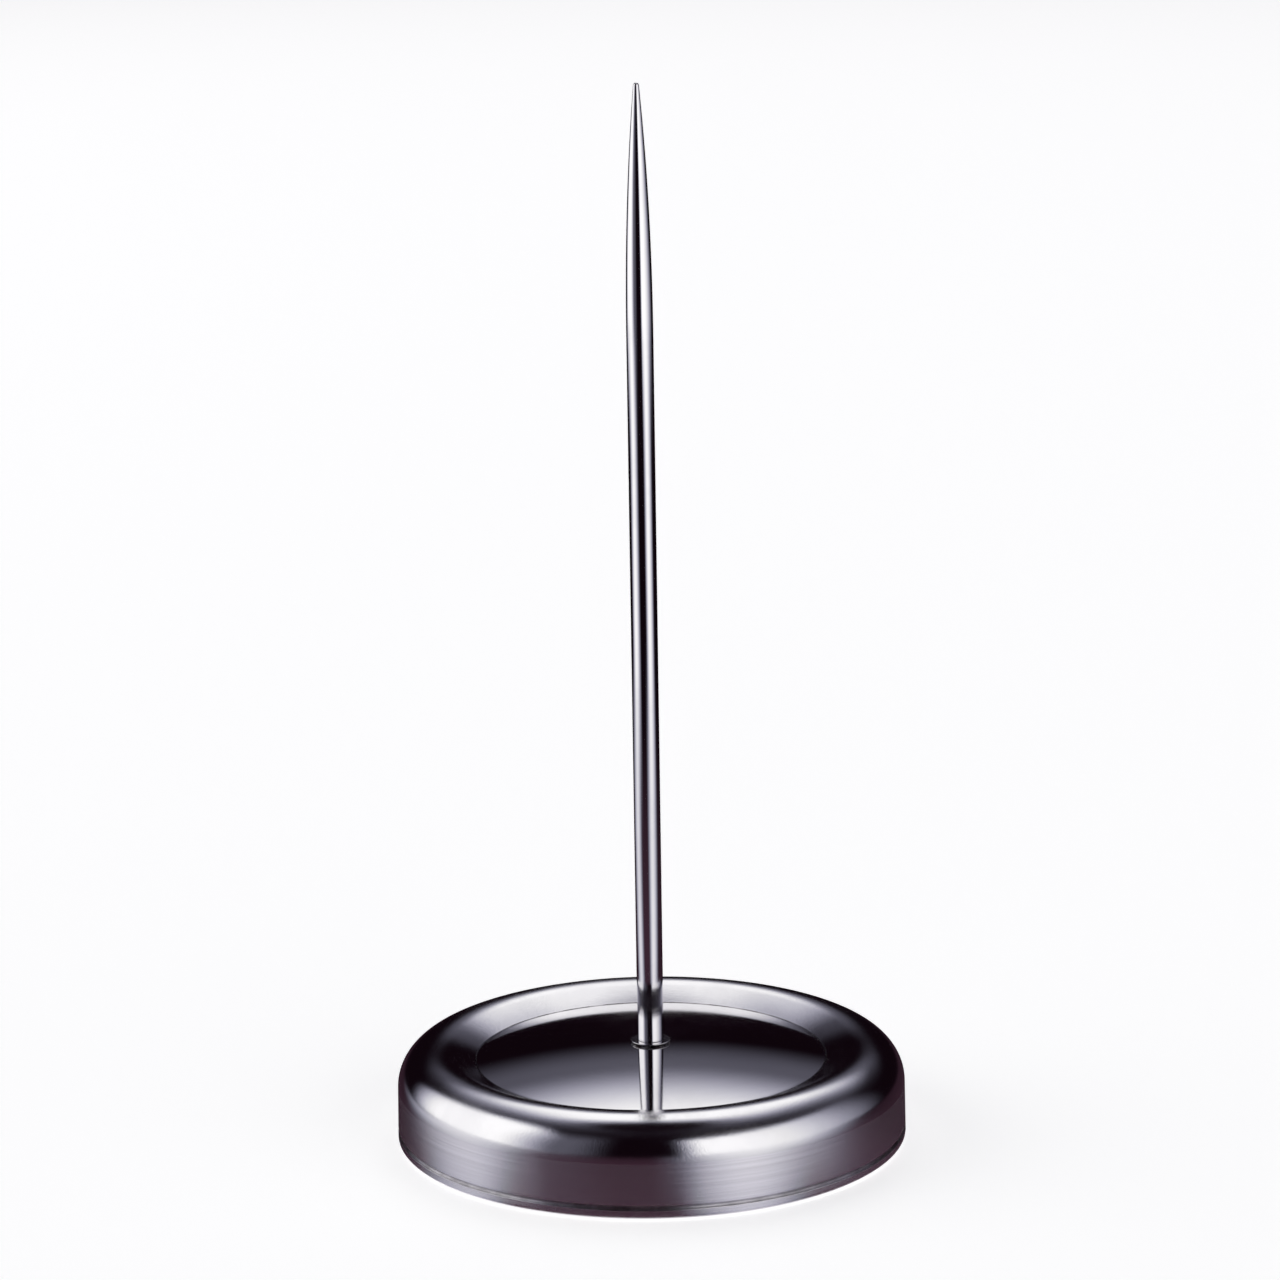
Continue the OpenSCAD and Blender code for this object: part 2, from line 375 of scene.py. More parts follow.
# %% The dome and the card that carry them
studio_r = 6.0
studio_steps = 72
dome_rows = 24
card_z = 0.05 * MM


def ring_of_faces(name, section, material):
    """A plain swept mesh for the studio: section lists (radius, height) from outside in."""
    points = []
    faces = []
    rows = len(section)
    for i in range(studio_steps):
        angle = 2 * math.pi * i / studio_steps
        points += [(r * math.cos(angle), r * math.sin(angle), z) for r, z in section]
        for j in range(rows - 1):
            here, there = i * rows + j, (i + 1) % studio_steps * rows + j
            faces.append((here, there, there + 1, here + 1))
    mesh = bpy.data.meshes.new(name)
    mesh.from_pydata(points, [], faces)
    mesh.materials.append(material)
    thing = bpy.data.objects.new(name, mesh)
    scene.collection.objects.link(thing)
    print(name, "has", len(faces), "faces")
    return thing


dome_leans = [math.pi / 2 * k / dome_rows for k in range(dome_rows + 1)]
dome_section = [(studio_r * math.cos(lean), studio_r * math.sin(lean)) for lean in dome_leans]
light_dome = ring_of_faces("light_dome", dome_section, dome_material)
light_dome.visible_camera = False
card = ring_of_faces("floor_card", [(studio_r, card_z), (base_r, card_z)], card_material)
card.visible_camera = False
card.visible_diffuse = False
card.visible_transmission = False
card.visible_shadow = False

# %% [markdown]
# ## Floor and background
# The floor is plain white and takes the object's soft shadow. Diffuse light alone would leave it grey, so it
# gets a little light of its own for rays from the camera and from mirrors. The world behind it is white in the
# same way.

# %% Floor and world
floor_colour = (0.86, 0.86, 0.84, 1)
floor_glow = 0.63
floor_middle_r = 0.5
floor_hole_r = 0.0001
white = (1, 1, 1, 1)


def seen_directly(tree):
    """1 for rays from the camera, from a mirror or through glass, and 0 for the rest."""
    path = add_node(tree, "ShaderNodeLightPath").outputs
    seen = calculate(tree, "MAXIMUM", path["Is Camera Ray"], path["Is Glossy Ray"])
    return calculate(tree, "MAXIMUM", seen, path["Is Transmission Ray"])


floor_material = bpy.data.materials.new("white floor")
floor_material.use_nodes = True
tree = floor_material.node_tree
tree.nodes.clear()
matt = add_node(tree, "ShaderNodeBsdfDiffuse", {"Color": floor_colour})
own_strength = calculate(tree, "MULTIPLY", seen_directly(tree), floor_glow)
own_light = add_node(tree, "ShaderNodeEmission", {"Strength": own_strength})
both = add_node(tree, "ShaderNodeAddShader", {0: matt.outputs[0], 1: own_light.outputs[0]})
add_node(tree, "ShaderNodeOutputMaterial", {"Surface": both.outputs[0]})
ring_of_faces("floor", [(studio_r, 0), (floor_middle_r, 0), (floor_hole_r, 0)], floor_material)

world = bpy.data.worlds.new("white room")
world.use_nodes = True
tree = world.node_tree
tree.nodes.clear()
background = add_node(tree, "ShaderNodeBackground", {"Color": white, "Strength": seen_directly(tree)})
add_node(tree, "ShaderNodeOutputWorld", {"Surface": background.outputs[0]})
scene.world = world
print("the world is", world.name)

# %% [markdown]
# ## Finishes that several pieces share
# Turning and polishing leave fine lines that run round the axis. Their pattern must not change along a line,
# so the noise is read at (direction round the axis, distance along the section) instead of at x, y and z.
# Radius minus height grows all the way along the section of this object, so it serves as that distance.

# %% Turned lines, as a group
def object_place(tree):
    return add_node(tree, "ShaderNodeTexCoord").outputs["Object"]


def place_round_axis(tree):
    """A point's x, y and z, its place seen from above, and its distance from the upright axis."""
    axis = add_node(tree, "ShaderNodeSeparateXYZ", {0: object_place(tree)}).outputs
    flat = add_node(tree, "ShaderNodeCombineXYZ", {"X": axis["X"], "Y": axis["Y"]}).outputs[0]
    return axis, flat, calculate_vector(tree, "LENGTH", flat)


def noise(tree, place, scale, detail, roughness, distortion=0.0):
    look = {"Scale": scale, "Detail": detail, "Roughness": roughness, "Distortion": distortion}
    return add_node(tree, "ShaderNodeTexNoise", {"Vector": place, **look}).outputs[0]


turned_lines, given, result = new_group(
    "Turned Lines", "ShaderNodeTree", {"Lines per Metre": NUMBER, "Breaks": NUMBER}, {"Lines": NUMBER}
)
axis, flat, radius = place_round_axis(turned_lines)
around = {0: calculate_vector(turned_lines, "NORMALIZE", flat), "Scale": given["Breaks"]}
around = add_node(turned_lines, "ShaderNodeVectorMath", around, operation="SCALE").outputs[0]
distance = calculate(turned_lines, "SUBTRACT", radius, axis["Z"])
distance = calculate(turned_lines, "MULTIPLY", distance, given["Lines per Metre"])
upright = add_node(turned_lines, "ShaderNodeCombineXYZ", {"Z": distance}).outputs[0]
where = calculate_vector(turned_lines, "ADD", around, upright)
finish_group(turned_lines, result, {"Lines": noise(turned_lines, where, scale=1, detail=1, roughness=0.5)})

# %% [markdown]
# Anything that is handled carries faint cloudy marks, where skin has left a film. They change the roughness
# much more than the colour. The same group serves rolled sheet and plating, with other sizes.

# %% Handling marks, as a group
mark_edge = (0.42, 0.72)
handling_marks, given, result = new_group(
    "Handling Marks", "ShaderNodeTree", {"Marks per Metre": NUMBER}, {"Marks": NUMBER}
)
place = object_place(handling_marks)
cloud = noise(handling_marks, place, given["Marks per Metre"], detail=5, roughness=0.62, distortion=0.6)
finish_group(handling_marks, result, {"Marks": soft_edge(handling_marks, cloud, *mark_edge)})

# %% [markdown]
# A cast or moulded surface has a fine grain instead of lines. One noise with much detail serves: its large
# swells are the skin of the casting, and its small ones the sand or the press.

# %% Grain, as a group
fine_grain, given, result = new_group(
    "Fine Grain", "ShaderNodeTree", {"Grains per Metre": NUMBER}, {"Grain": NUMBER}
)
place = object_place(fine_grain)
grain = noise(fine_grain, place, given["Grains per Metre"], detail=6, roughness=0.65)
finish_group(fine_grain, result, {"Grain": grain})

# %% [markdown]
# A thin dark line is painted in corners: in the crease, in the groove and under the washer. It is partly
# polishing compound and dust that stay where no cloth reaches, and partly painted shade. The group takes the
# distance from the corner, and a cloudy noise makes the line uneven.

# %% Dirt and painted shade in corners, as a group
dirt_and_shade_clouds_per_metre = 260
cloud_low, cloud_high = 0.36, 0.6
least_dirt_and_shade = 0.5
full_share = 0.4
corner_dirt_and_shade, given, result = new_group(
    "Corner Dirt", "ShaderNodeTree", {"Distance": NUMBER, "Width": NUMBER}, {"Dirt And Shade": NUMBER}
)
cloud = noise(corner_dirt_and_shade, object_place(corner_dirt_and_shade), dirt_and_shade_clouds_per_metre, detail=3, roughness=0.6)
uneven = {"Value": cloud, "From Min": cloud_low, "From Max": cloud_high, "To Min": least_dirt_and_shade}
uneven = add_node(corner_dirt_and_shade, "ShaderNodeMapRange", uneven).outputs["Result"]
full_width = calculate(corner_dirt_and_shade, "MULTIPLY", given["Width"], full_share)
away = calculate(corner_dirt_and_shade, "ABSOLUTE", given["Distance"])
corner_line = soft_edge(corner_dirt_and_shade, away, given["Width"], full_width)
finish_group(corner_dirt_and_shade, result, {"Dirt And Shade": calculate(corner_dirt_and_shade, "MULTIPLY", corner_line, uneven)})

# %% [markdown]
# A material puts such groups together. The helpers below place a group with its values, turn a mask into a
# roughness or a colour, and join the results to the shader.

# %% Material helpers
# This dark colour in corners stands for dirt and also for painted shade.
dirt_and_shade_colour = (0.03, 0.022, 0.026)


def new_metal(name, metallic=1.0):
    material = bpy.data.materials.new(name)
    material.use_nodes = True
    tree = material.node_tree
    shader = tree.nodes["Principled BSDF"]
    shader.inputs["Metallic"].default_value = metallic
    return material, tree, shader


def use_group(tree, group, **values):
    """The output of a group. Marks_per_Metre=70 fills its socket Marks per Metre."""
    sockets = {name.replace("_", " "): value for name, value in values.items()}
    return add_node(tree, "ShaderNodeGroup", sockets, node_tree=group).outputs[0]


def between(tree, mask, low, high):
    """A value that runs from low to high with the mask."""
    span = {"Value": mask, "To Min": low, "To Max": high}
    return add_node(tree, "ShaderNodeMapRange", span).outputs["Result"]


def blend_colours(tree, mask, first, second):
    """A colour that runs from the first to the second with the mask. Either can come from a node."""
    first, second = ((*colour, 1) if isinstance(colour, tuple) else colour for colour in (first, second))
    return add_node(tree, "ShaderNodeMix", {0: mask, 6: first, 7: second}, data_type="RGBA").outputs[2]


def bump(tree, height, distance, **normal):
    sockets = {"Height": height, "Distance": distance, **normal}
    return add_node(tree, "ShaderNodeBump", sockets).outputs[0]


def feed(tree, shader, **values):
    for name, value in values.items():
        tree.links.new(value, shader.inputs[name.replace("_", " ")])
    print("a finish with", len(tree.nodes), "nodes feeds", ", ".join(values))


print("dirt in corners has the colour", dirt_and_shade_colour)


# %% [markdown]
# ## Polished steel
# The rod and the washer at its foot are mirror polished. The mirror is very slightly soft, so the stripes on
# the rod have soft edges, and faint lines run round it from the polishing wheel.

# %% Polished steel
rod_dirt_and_shade_roughness = 0.4
polished_steel, tree, shader = new_metal("polished steel")
marks = use_group(tree, handling_marks, Marks_per_Metre=70)
lines = use_group(tree, turned_lines, Lines_per_Metre=2600, Breaks=2.0)
height = add_node(tree, "ShaderNodeSeparateXYZ", {0: object_place(tree)}).outputs["Z"]
# Just above the dish the rod and washer darken in a thin line. This is partly dirt and partly painted shade.
above_dish = calculate(tree, "SUBTRACT", height, washer_low.z)
dirt_and_shade = use_group(tree, corner_dirt_and_shade, Distance=above_dish, Width=0.6 * MM)
clean_roughness = calculate(tree, "ADD", between(tree, marks, 0.04, 0.08), between(tree, lines, 0.0, 0.04))
clean_colour = blend_colours(tree, marks, (0.8, 0.79, 0.805), (0.74, 0.73, 0.75))
feed(
    tree,
    shader,
    Base_Color=blend_colours(tree, dirt_and_shade, clean_colour, dirt_and_shade_colour),
    Roughness=calculate(tree, "MULTIPLY_ADD", dirt_and_shade, rod_dirt_and_shade_roughness, clean_roughness),
    Normal=bump(tree, lines, 0.0006 * MM),
)

# %% [markdown]
# ## The steel of the base
# One sheet carries three finishes. The dish is mirror polished. The rim round it is a softer polish with a
# fine grain, and the wall is brushed, with lines that run round it. Brushed lines spread a reflection across
# themselves, so a wall with level lines smears the room up and down. The shader calls this anisotropy. Its
# direction is round the axis, turned by a quarter, and its strength is the same all over, so both are plain
# values on the shader. Roughness then decides how much of it shows. A brushed wall also scatters a little
# light like a matt surface, so it is never black.

# %% Where each finish lies
brushed_top = rim_h - roll_r
brushed_blur = 0.15 * MM
near_brush_h = 2.2 * MM
crease_radius = base_r - rim_w
rim_edge = (crease_radius - 0.2 * MM, crease_radius + 0.4 * MM)
groove_z = plate_high.z + groove_up
groove_dirt_and_shade_drop = 0.1 * MM
crease_dirt_and_shade = 0.72
groove_dirt_and_shade = 0.5

shell_steel, tree, shader = new_metal("base steel")
axis, _, radius = place_round_axis(tree)
on_rim = soft_edge(tree, radius, *rim_edge)
brushed = soft_edge(tree, axis["Z"], brushed_top + brushed_blur, brushed_top - brushed_blur)
near_brush = soft_edge(tree, axis["Z"], brushed_top + near_brush_h, brushed_top)
# The crease and the groove get a thin dark line. It is partly dirt and partly painted shade.
from_crease = calculate(tree, "SUBTRACT", radius, crease_radius)
from_groove = calculate(tree, "SUBTRACT", axis["Z"], groove_z - groove_dirt_and_shade_drop)
in_crease = use_group(tree, corner_dirt_and_shade, Distance=from_crease, Width=0.24 * MM)
in_groove = use_group(tree, corner_dirt_and_shade, Distance=from_groove, Width=0.6 * MM)
in_crease = calculate(tree, "MULTIPLY", in_crease, crease_dirt_and_shade)
in_groove = calculate(tree, "MULTIPLY", in_groove, groove_dirt_and_shade)
dirt_and_shade = calculate(tree, "MAXIMUM", in_crease, in_groove)
print(f"brushed below {brushed_top / MM:.2f} mm, mirror polished within {crease_radius / MM:.2f} mm")

# %% Base steel
near_brush_roughness = 0.13
base_dirt_and_shade_roughness = 0.3
marks = use_group(tree, handling_marks, Marks_per_Metre=45)
lines = use_group(tree, turned_lines, Lines_per_Metre=2300, Breaks=0.8)
grain = use_group(tree, fine_grain, Grains_per_Metre=2200)
mirror = calculate(tree, "ADD", between(tree, marks, 0.03, 0.06), between(tree, lines, 0.0, 0.03))
satin = calculate(tree, "ADD", mirror, between(tree, on_rim, 0.0, 0.045))
satin = calculate(tree, "MULTIPLY_ADD", near_brush, near_brush_roughness, satin)
brush = calculate(tree, "ADD", between(tree, lines, 0.21, 0.26), between(tree, marks, 0.0, 0.03))
polished_colour = blend_colours(tree, marks, (0.78, 0.77, 0.785), (0.72, 0.71, 0.73))
brushed_colour = blend_colours(tree, lines, (0.89, 0.87, 0.905), (0.64, 0.62, 0.655))
clean_colour = blend_colours(tree, brushed, polished_colour, brushed_colour)
clean_roughness = blend(tree, brushed, satin, brush)
grain_share = calculate(tree, "SUBTRACT", between(tree, on_rim, 0.15, 1.0), brushed)
grain_height = calculate(tree, "MULTIPLY", grain, grain_share)
shader.inputs["Anisotropic"].default_value = 1.0
shader.inputs["Anisotropic Rotation"].default_value = 0.25
round_the_axis = add_node(tree, "ShaderNodeTangent", direction_type="RADIAL", axis="Z")
feed(
    tree,
    shader,
    Base_Color=blend_colours(tree, dirt_and_shade, clean_colour, dirt_and_shade_colour),
    Metallic=between(tree, brushed, 1.0, 0.95),
    Roughness=calculate(tree, "MULTIPLY_ADD", dirt_and_shade, base_dirt_and_shade_roughness, clean_roughness),
    Normal=bump(tree, lines, 0.0004 * MM, Normal=bump(tree, grain_height, 0.014 * MM)),
    Tangent=round_the_axis.outputs[0],
)

# %% [markdown]
# ## What is inside and underneath
# These finishes are hidden in normal use, but the pieces are real ones and anyone may take the object apart.
# The ballast is rough cast iron with a little rust in cloudy patches. The nut and its plain washer are zinc
# plated, the spring washer is oiled black steel, and the bottom plate is plain rolled sheet. The disc is matt
# rubber. All of them have cloudy marks in their colour and a grain in their surface.

# %% Hidden finishes
def grained_finish(name, metallic, mark_scale, grain_scale, colours, roughness, depth, rough_marks=False):
    """The two colours follow the marks. Roughness follows the grain, or the marks where they are oily."""
    material, tree, shader = new_metal(name, metallic)
    marks = use_group(tree, handling_marks, Marks_per_Metre=mark_scale)
    grain = use_group(tree, fine_grain, Grains_per_Metre=grain_scale)
    feed(
        tree,
        shader,
        Base_Color=blend_colours(tree, marks, *colours),
        Roughness=between(tree, marks if rough_marks else grain, *roughness),
        Normal=bump(tree, grain, depth),
    )
    return material


iron_colours = ((0.09, 0.085, 0.085), (0.17, 0.1, 0.07))
zinc_colours = ((0.6, 0.6, 0.57), (0.5, 0.53, 0.55))
spring_colours = ((0.14, 0.14, 0.15), (0.24, 0.23, 0.23))
sheet_colours = ((0.45, 0.46, 0.47), (0.38, 0.39, 0.41))
rubber_colours = ((0.022, 0.022, 0.023), (0.05, 0.048, 0.046))
cast_iron = grained_finish("cast iron", 0.6, 60, 900, iron_colours, (0.55, 0.85), 0.25 * MM)
zinc_plate = grained_finish("zinc plate", 1.0, 260, 2500, zinc_colours, (0.22, 0.42), 0.004 * MM)
spring_steel = grained_finish(
    "oiled spring steel", 1.0, 300, 3000, spring_colours, (0.28, 0.5), 0.005 * MM, rough_marks=True
)
plain_sheet = grained_finish("plain rolled sheet", 1.0, 55, 1400, sheet_colours, (0.3, 0.55), 0.006 * MM)
black_rubber = grained_finish("matt rubber", 0.0, 80, 2200, rubber_colours, (0.62, 0.85), 0.05 * MM)
black_rubber.node_tree.nodes["Principled BSDF"].inputs["Specular IOR Level"].default_value = 0.35

# %% [markdown]
# ## The lathe
# A lathe makes every point of a section into a ring. Geometry Nodes can do the same: a flat grid has one
# column of points for each step round the axis, and each point in a column takes its radius and height from
# the matching point of the section. Merging by distance then closes the seam, and the poles where the section
# meets the axis.

# %% The lathe tree
def coated(tree, geometry, material):
    """The end of each tree: real geometry with its material."""
    whole = add_node(tree, "GeometryNodeRealizeInstances", {"Geometry": geometry}).outputs[0]
    return add_node(tree, "GeometryNodeSetMaterial", {"Geometry": whole, "Material": material}).outputs[0]


lathe, given, result = new_group(
    "Lathe",
    "GeometryNodeTree",
    {"Section": GEOMETRY, "Steps Round": WHOLE_NUMBER, "Weld": NUMBER, "Material": MATERIAL},
    {"Turned Piece": GEOMETRY},
)
section_mesh = {"Geometry": given["Section"]}
size = add_node(lathe, "GeometryNodeAttributeDomainSize", section_mesh).outputs["Point Count"]
columns = calculate(lathe, "ADD", given["Steps Round"], 1)
grid = add_node(lathe, "GeometryNodeMeshGrid", {"Vertices X": columns, "Vertices Y": size}).outputs["Mesh"]
index_by_size = {0: add_node(lathe, "GeometryNodeInputIndex").outputs[0], 1: size}
column = add_node(lathe, "FunctionNodeIntegerMath", index_by_size, operation="DIVIDE_FLOOR").outputs[0]
row = add_node(lathe, "FunctionNodeIntegerMath", index_by_size, operation="MODULO").outputs[0]
turn = calculate(lathe, "MULTIPLY", calculate(lathe, "DIVIDE", column, given["Steps Round"]), 2 * math.pi)
sample = {**section_mesh, "Value": add_node(lathe, "GeometryNodeInputPosition").outputs[0], "Index": row}
sampled = add_node(lathe, "GeometryNodeSampleIndex", sample, data_type="FLOAT_VECTOR").outputs["Value"]
half = add_node(lathe, "ShaderNodeSeparateXYZ", {0: sampled}).outputs
swept = {
    "X": calculate(lathe, "MULTIPLY", half["X"], calculate(lathe, "COSINE", turn)),
    "Y": calculate(lathe, "MULTIPLY", half["X"], calculate(lathe, "SINE", turn)),
    "Z": half["Z"],
}
swept = add_node(lathe, "ShaderNodeCombineXYZ", swept).outputs[0]
bent = add_node(lathe, "GeometryNodeSetPosition", {"Geometry": grid, "Position": swept}).outputs[0]
seam = {"Geometry": bent, "Distance": given["Weld"]}
welded = add_node(lathe, "GeometryNodeMergeByDistance", seam).outputs[0]
smooth = add_node(lathe, "GeometryNodeSetShadeSmooth", {"Geometry": welded, "Shade Smooth": True}).outputs[0]
finish_group(lathe, result, {"Turned Piece": coated(lathe, smooth, given["Material"])})

# %% [markdown]
# The section goes in as the object's own mesh, a string of points in the XZ plane. It runs with the metal on
# its left, so that the faces point outwards. A modifier knows the inputs of its tree by their identifiers. The
# result is made a plain mesh, and the modifier is taken off again.

# %% Turn a piece
WELD = 0.0005 * MM


def make_with_tree(thing, tree, inputs):
    scene.collection.objects.link(thing)
    modifier = thing.modifiers.new(tree.name, "NODES")
    modifier.node_group = tree
    for item in tree.interface.items_tree:
        if item.in_out == "INPUT" and item.name in inputs:
            modifier[item.identifier] = inputs[item.name]
    shown = thing.evaluated_get(bpy.context.evaluated_depsgraph_get())
    mesh = bpy.data.meshes.new_from_object(shown)
    thing.modifiers.clear()
    thing.data = mesh
    thing.data.name = thing.name
    print(f"{thing.name}: {len(mesh.vertices)} points, {len(mesh.polygons)} faces")


def turn_piece(name, section, steps, material):
    points = [(r, 0, z) for r, z in section]
    string = bpy.data.meshes.new(name + "_section")
    string.from_pydata(points, [(i, i + 1) for i in range(len(points) - 1)], [])
    thing = bpy.data.objects.new(name, string)
    make_with_tree(thing, lathe, {"Steps Round": steps, "Weld": WELD, "Material": material})
    return thing


print(f"points of a piece that lie within {WELD / MM:.4f} mm are welded")

# %% Lines and arcs of a section
right_angle = math.pi / 2


def on_circle(centre, radius, angle):
    return (centre[0] + radius * math.cos(angle), centre[1] + radius * math.sin(angle))


def angle_to(centre, point):
    return math.atan2(point[1] - centre[1], point[0] - centre[0])


def line(start, end, step):
    """Points on a straight line, about step apart."""
    count = max(1, math.ceil(math.dist(start, end) / step))
    return [
        (start[0] + (end[0] - start[0]) * i / count, start[1] + (end[1] - start[1]) * i / count)
        for i in range(count + 1)
    ]


def arc(centre, radius, start, end, step):
    """Points on an arc, from one angle to the other in radians, about step radians apart."""
    count = max(1, math.ceil(abs(end - start) / step))
    return [on_circle(centre, radius, start + (end - start) * i / count) for i in range(count + 1)]


def join(*runs):
    """One string of points, without the doubles where two runs meet."""
    section = []
    for run in runs:
        for point in run:
            if not section or math.dist(section[-1], point) > 2 * WELD:
                section.append(point)
    return section


small_turn = math.radians(15)
print("a small rounded edge gets", len(arc((0, 0), MM, 0, right_angle, small_turn)), "points")

# %% [markdown]
# ## The base shell
# The cover of the base is one pressed sheet: a domed dish, a crease, a rolled rim, a wall that leans by a
# degree, a groove rolled in above the bottom plate, and a hem turned under it. Its section is made of straight
# lines and arcs that run smoothly into each other. The outside is sampled finely, because a mirror shows every
# flat. The inside follows it, a sheet's thickness deeper, with far fewer points.

# %% Key points of the shell's section
hem_c = (base_r - hem_r / math.cos(wall_lean), hem_z + hem_r)
roll_z = rim_h - roll_r
roll_in = (roll_r + math.sin(wall_lean) * (roll_z - hem_c[1])) / math.cos(wall_lean)
roll_c = (base_r - roll_in, roll_z)
straight_end = on_circle(roll_c, roll_r, right_angle + rim_slope)
crease_z = straight_end[1] - (straight_end[0] - crease_radius) * math.tan(rim_slope)
dome_rise = dome_top - crease_z
dome_r = (crease_radius**2 + dome_rise**2) / (2 * dome_rise)
dome_c = (0, dome_top - dome_r)
print(f"crease {crease_z / MM:.3f} mm high, dish rises {dome_rise / MM:.3f} mm")
print(f"dish has a radius of {dome_r / MM:.1f} mm")

# %% Swell of the rim's slope
# The slope of a pressed rim isn't quite straight. It bulges by a few hundredths of a millimetre between its
# ends, which only its reflection shows: the slope is paler near the crest than near the crease.
slope_at_top = rim_slope - math.radians(2.4)
roll_end = on_circle(roll_c, roll_r, right_angle + slope_at_top)
chord = (roll_end[0] - crease_radius, roll_end[1] - crease_z)
slope_at_foot = 2 * math.atan2(chord[1], chord[0]) - slope_at_top
swell_r = math.hypot(*chord) / (2 * math.sin((slope_at_foot - slope_at_top) / 2))
swell_c = on_circle(roll_end, swell_r, slope_at_top - right_angle)
print(f"slope from {math.degrees(slope_at_top):.2f} to {math.degrees(slope_at_foot):.2f} degrees")
print(f"slope has a radius of {swell_r / MM:.1f} mm")

# %% Fillet in the crease
# The middle of the fillet lies one crease radius off the slope and off the dish. It is found by going down
# along the slope, at that distance from it, as far as the dish lets it.
start = on_circle((crease_radius, crease_z), crease_r, slope_at_foot + right_angle)
slope_in = (-math.cos(slope_at_foot), -math.sin(slope_at_foot))
offset = (start[0] - dome_c[0], start[1] - dome_c[1])
middle = -(offset[0] * slope_in[0] + offset[1] * slope_in[1])
way = middle - math.sqrt(middle**2 - offset[0] ** 2 - offset[1] ** 2 + (dome_r + crease_r) ** 2)
fillet_c = (start[0] + way * slope_in[0], start[1] + way * slope_in[1])
to_dome = angle_to(fillet_c, dome_c)
to_slope = slope_at_foot - right_angle
swell_end = angle_to(swell_c, on_circle(fillet_c, crease_r, to_slope))
print(f"fillet sits at radius {fillet_c[0] / MM:.3f} mm")

# %% Wall with its groove
# The two edges of the groove are softened by small arcs that touch the wall and the groove's own arc.
fine = 0.12 * MM
groove_c = (base_r, groove_z)
groove_edge_r = 0.16 * MM
groove_turn = math.radians(9)


def wall_radius(z, inset=0.0):
    return hem_c[0] + (hem_r - inset) / math.cos(wall_lean) - (z - hem_c[1]) * math.tan(wall_lean)


groove_out = groove_c[0] - wall_radius(groove_z)
half_open = math.sqrt((groove_r + groove_edge_r) ** 2 - (groove_edge_r + groove_out) ** 2)
open_low, open_high = groove_z - half_open, groove_z + half_open
edge_low = (wall_radius(open_low) - groove_edge_r, open_low)
edge_high = (wall_radius(open_high) - groove_edge_r, open_high)
turn_low = angle_to(edge_low, groove_c)
turn_high = angle_to(edge_high, groove_c)
wall = join(
    line(on_circle(hem_c, hem_r, wall_lean), (wall_radius(open_low), open_low), fine),
    arc(edge_low, groove_edge_r, 0, turn_low, small_turn),
    arc(groove_c, groove_r, math.pi + turn_low, math.pi + turn_high, groove_turn),
    arc(edge_high, groove_edge_r, turn_high, 0, small_turn),
    line((wall_radius(open_high), open_high), on_circle(roll_c, roll_r, wall_lean), 4 * fine),
)
print(f"groove is {2 * half_open / MM:.2f} mm wide with its edges, wall has {len(wall)} points")

# %% Outside of the shell
lip_r = hem_c[0] - hem_lip_w
cut_r = 0.1 * MM
dome_step = 0.6 * MM
mirror_turn = math.radians(1.8)
bend_turn = math.radians(6)
crease_turn = math.radians(5)
dome_at_hole = math.acos(hole_r / dome_r)
dome_at_crease = angle_to(dome_c, fillet_c)
outside = join(
    line((lip_r + cut_r, hem_z), (hem_c[0], hem_z), 5 * fine),
    arc(hem_c, hem_r, -right_angle, wall_lean, bend_turn),
    wall,
    arc(roll_c, roll_r, wall_lean, right_angle + slope_at_top, mirror_turn),
    arc(swell_c, swell_r, right_angle + slope_at_top, swell_end, 3 * fine / swell_r),
    arc(fillet_c, crease_r, to_slope, to_dome, crease_turn),
    arc(dome_c, dome_r, dome_at_crease, dome_at_hole, dome_step / dome_r),
)
print("outside of the shell has", len(outside), "points")

# %% Inside of the shell
# The groove shows on the inside as a ridge, which holds the bottom plate down on the hem.
inside_step = 2 * MM
inside_turn = math.radians(8)
cut_turn = math.radians(30)
wall_step = 1.5 * MM
lip_step = 0.5 * MM
above_ridge = 4.2 * MM
below_ridge = plate_low.z + 0.5 * MM
ridge_start, ridge_end = math.radians(152), math.radians(208)
hem_inside_r = 0.2 * MM
inside = join(
    arc(dome_c, dome_r - sheet_t, dome_at_hole, dome_at_crease, inside_step / dome_r),
    arc(fillet_c, crease_r + sheet_t, to_dome, to_slope, inside_turn),
    arc(roll_c, roll_r - sheet_t, right_angle + rim_slope, wall_lean, bend_turn),
    line((wall_radius(roll_z, sheet_t), roll_z), (wall_radius(above_ridge, sheet_t), above_ridge), wall_step),
    arc(groove_c, groove_r + sheet_t, ridge_start, ridge_end, inside_turn),
    line((wall_radius(below_ridge, sheet_t), below_ridge), (hem_c[0] + hem_inside_r, hem_c[1]), lip_step),
    arc(hem_c, hem_r - sheet_t, 0, -right_angle, small_turn),
    line((hem_c[0], plate_low.z), (lip_r + cut_r, plate_low.z), lip_step),
    arc((lip_r + cut_r, plate_low.z - cut_r), cut_r, right_angle, 2 * right_angle, cut_turn),
    arc((lip_r + cut_r, hem_z + cut_r), cut_r, -2 * right_angle, -right_angle, cut_turn),
)
print("inside of the shell has", len(inside), "points")

# %% Base shell
shell_section = join(outside, inside) + [outside[0]]
base_shell = turn_piece("shell", shell_section, steps=320, material=shell_steel)
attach(base_shell, "root")
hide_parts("base_shell")

# %% [markdown]
# ## The spike
# The rod is straight for most of its height and then draws in along a full curve: the radius falls with a
# power of the height, slowly at first. A small ball closes the point. Under the shoulder the rod is turned
# down to a thinner tail.

# %% The point of the spike
point_steps = 90
point_z = spike_high.z - point_l
tip_lean = math.atan((spike_r - tip_r) * point_fullness / point_l)
tip_c = (0, spike_high.z - tip_r)
ball_start = on_circle(tip_c, tip_r, tip_lean)


